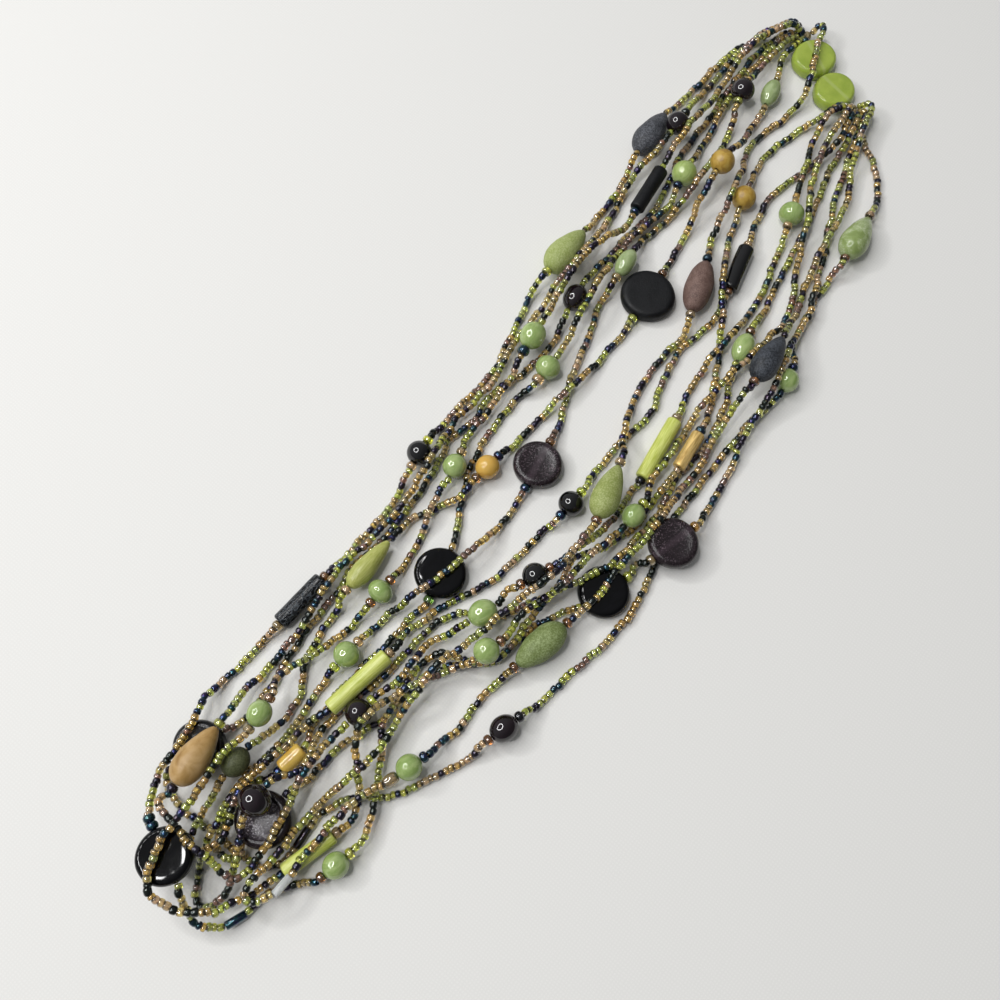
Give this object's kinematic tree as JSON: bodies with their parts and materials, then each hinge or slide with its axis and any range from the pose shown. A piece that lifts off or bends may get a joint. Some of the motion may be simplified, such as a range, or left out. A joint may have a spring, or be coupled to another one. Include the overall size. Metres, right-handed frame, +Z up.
{
  "type": "multi strand bead necklace",
  "caption": "Long multi strand necklace of seed beads with larger glass beads, joined at one end by lime coin beads, lying flat.",
  "frame": {"origin": "on the surface that the necklace lies on, under the middle of its bounding box", "axes": "+Z up from the surface, +Y along the necklace towards its gathered end, +X across it to the right"},
  "size_m": [0.0919, 0.3208, 0.0158],
  "materials": {
    "seed_mix": "silver-lined gold and lime, peach-lined and dark iris seed beads in a random order",
    "thread": "thin waxed thread",
    "lime_glass": "clear lime glass, polished",
    "jade": "opaque jade green glass with paler streaks, polished",
    "gloss_black": "opaque black glass, polished",
    "frosted_black": "opaque black glass, frosted",
    "scribble_black": "opaque black glass with silvery scratches",
    "dark_amethyst": "nearly black amethyst glass, polished",
    "sparkling_plum": "plum brown glass with fine sparkling grains",
    "amber": "golden amber glass with darker bands",
    "frosted_green": "opaque green glass, frosted",
    "frosted_slate": "slate grey glass, frosted",
    "frosted_plum": "plum brown glass, frosted",
    "serpentine": "green stone with a pale cloud",
    "tan_stone": "tan stone with soft bands, satin",
    "shell": "fibrous lime green shell, satin",
    "satin_gold": "satin gold"
  },
  "bodies": {
    "root": {"string_1": "seed_mix", "string_2": "seed_mix", "string_3": "seed_mix", "string_4": "seed_mix", "string_5": "seed_mix", "string_6": "seed_mix", "string_7": "seed_mix", "string_8": "seed_mix", "knot_thread": "thread", "lime_coin_left": "lime_glass", "lime_coin_right": "lime_glass", "jade_rounds": "jade", "purple_round": "dark_amethyst", "dark_round": "dark_amethyst", "lime_round": "jade", "amber_round_left": "amber", "amber_round_middle": "amber", "purple_oval": "dark_amethyst", "black_round_left": "gloss_black", "black_round_middle": "gloss_black", "black_round_right": "gloss_black", "amethyst_round_middle": "dark_amethyst", "amethyst_round_right": "dark_amethyst", "amethyst_round_big": "dark_amethyst", "olive_round": "frosted_green", "amber_oval": "amber", "pale_oval": "jade", "small_oval": "jade", "right_oval": "jade", "left_oval": "jade", "low_oval": "jade", "slate_drop": "frosted_slate", "lime_drop": "frosted_green", "serpentine_drop": "serpentine", "black_drop": "frosted_slate", "plum_drop": "frosted_plum", "green_drop": "frosted_green", "green_nugget": "frosted_green", "long_drop": "shell", "tan_drop": "tan_stone", "black_tube_left": "frosted_black", "black_tube_right": "frosted_black", "scribble_tube": "scribble_black", "lime_tube_right": "shell", "lime_tube_left": "shell", "lime_tube_low": "shell", "gold_tube_long": "satin_gold", "gold_tube_short": "satin_gold", "matte_coin": "frosted_black", "black_coin_middle": "gloss_black", "black_coin_right": "gloss_black", "black_coin_left": "gloss_black", "black_coin_low": "gloss_black", "amethyst_coin_middle": "sparkling_plum", "amethyst_coin_right": "sparkling_plum", "amethyst_coin_low": "sparkling_plum"}
  },
  "joints": []
}
